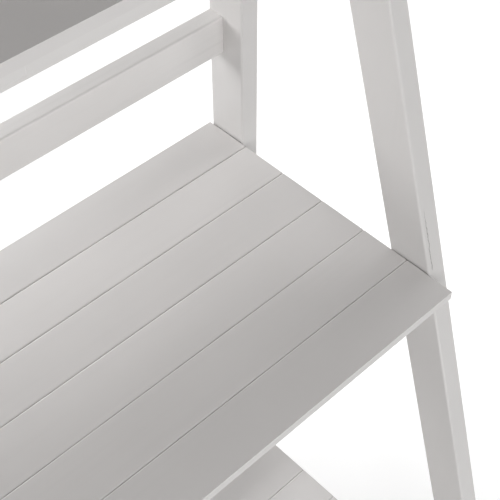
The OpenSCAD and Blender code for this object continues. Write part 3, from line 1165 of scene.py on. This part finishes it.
# Name, place, what it points at, size and power of each lamp
LAMPS = (
    ("back_left", (-1.5, 1.3, 1.4), ROOM_MIDDLE, (1.4, 1.0), 14.0),
    ("front", (0.2, -2.4, 1.2), ROOM_MIDDLE, (1.6, 1.2), 18.5),
    ("front_left", (-1.5, -1.8, 1.6), ROOM_MIDDLE, (1.6, 1.2), 26.5),
    ("near_back", (0.1, 0.8, 0.95), ROOM_MIDDLE, (0.5, 0.2), 3.8),
    ("near_back_right", (0.9, 0.9, 0.95), ROOM_MIDDLE, (0.5, 0.3), 1.6),
    ("near_right", (1.1, 0.2, 0.95), ROOM_MIDDLE, (0.5, 0.4), 2.9),
    ("near_right_low", (1.0, -0.2, 0.75), ROOM_MIDDLE, (0.4, 0.3), 1.0),
    ("top", (0.0, 0.0, 3.2), ROOM_MIDDLE, (2.0, 2.0), 13.0),
    ("floor_wash", (1.7, 1.7, 0.35), (1.7, 1.7, 0.0), (2.6, 2.8), 17.2),
)


class LADDERSHELF_OT_stage(bpy.types.Operator):
    """Pale floor, soft room light, lamps and the camera"""

    bl_idname = "ladder_shelf.stage"
    bl_label = "Stage"

    def execute(self, context):
        scene = context.scene
        settings = scene.shelf_stage
        floor = self.floor(settings)
        lamps = [
            area_light(name, place, target, size, power)
            for name, place, target, size, power in LAMPS
        ]
        self.room(scene, settings)
        self.camera(scene, settings)
        scene.view_settings.view_transform = "Standard"
        return {"FINISHED"}

    def floor(self, settings):
        """A very large pale floor"""
        bm = bmesh.new()
        bmesh.ops.create_grid(bm, x_segments=1, y_segments=1, size=FLOOR_REACH)
        mesh = bpy.data.meshes.new("floor")
        bm.to_mesh(mesh)
        bm.free()
        floor = bpy.data.objects.new("floor", mesh)
        bpy.context.scene.collection.objects.link(floor)
        material, shader = new_material("floor")
        shader.inputs["Base Color"].default_value = (*settings.floor_tone, 1)
        shader.inputs["Roughness"].default_value = 0.9
        shader.inputs["Emission Color"].default_value = (1, 1, 1, 1)
        shader.inputs["Emission Strength"].default_value = settings.floor_glow
        mesh.materials.append(material)
        return floor

    def room(self, scene, settings):
        """Even light from all around"""
        world = bpy.data.worlds.new("room")
        world.use_nodes = True
        background = world.node_tree.nodes["Background"]
        background.inputs["Color"].default_value = (1, 1, 1, 1)
        background.inputs["Strength"].default_value = settings.sky
        scene.world = world

    def camera(self, scene, settings):
        """The camera, placed from the middle shelf's front corner"""
        corner = Vector((SLAT_HIGH.x, SLAT_LOW.y, SLAT_HIGH.z))
        data = bpy.data.cameras.new("camera")
        data.angle = settings.angle
        data.clip_start = 0.01
        camera = bpy.data.objects.new("camera", data)
        scene.collection.objects.link(camera)
        camera.location = corner + Vector(settings.camera_offset)
        level = math.cos(settings.tilt)
        way = Vector(
            (
                level * math.cos(settings.heading),
                level * math.sin(settings.heading),
                -math.sin(settings.tilt),
            )
        )
        camera.rotation_euler = way.to_track_quat("-Z", "Y").to_euler()
        scene.camera = camera


# ---------- Panel and run ----------


class LADDERSHELF_PT_panel(bpy.types.Panel):
    """Settings and build steps of the ladder shelf"""

    bl_idname = "LADDERSHELF_PT_panel"
    bl_label = "Ladder Shelf"
    bl_space_type = "VIEW_3D"
    bl_region_type = "UI"
    bl_category = "Ladder Shelf"

    def draw(self, context):
        for name, settings in SETTINGS.items():
            box = self.layout.box()
            for field in settings.__annotations__:
                box.prop(getattr(context.scene, name), field)
        for operator in OPERATORS:
            self.layout.operator(operator.bl_idname)


SETTINGS = {
    "shelf_paint": PaintSettings,
    "shelf_boards": BoardSettings,
    "shelf_fittings": FittingSettings,
    "shelf_stage": StageSettings,
}
OPERATORS = (
    LADDERSHELF_OT_slats,
    LADDERSHELF_OT_battens,
    LADDERSHELF_OT_posts,
    LADDERSHELF_OT_legs,
    LADDERSHELF_OT_rails,
    LADDERSHELF_OT_cleats,
    LADDERSHELF_OT_bolts,
    LADDERSHELF_OT_screws,
    LADDERSHELF_OT_glides,
    LADDERSHELF_OT_hinges,
    LADDERSHELF_OT_stage,
)
CLASSES = (*SETTINGS.values(), *OPERATORS, LADDERSHELF_PT_panel)


def register():
    for cls in CLASSES:
        bpy.utils.register_class(cls)
    for name, settings in SETTINGS.items():
        setattr(bpy.types.Scene, name, PointerProperty(type=settings))


def unregister():
    for name in SETTINGS:
        delattr(bpy.types.Scene, name)
    for cls in reversed(CLASSES):
        bpy.utils.unregister_class(cls)


def main():
    """Builds every piece and the stage."""
    register()
    for operator in OPERATORS:
        group, step = operator.bl_idname.split(".")
        getattr(getattr(bpy.ops, group), step)()


if __name__ == "__main__":
    main()
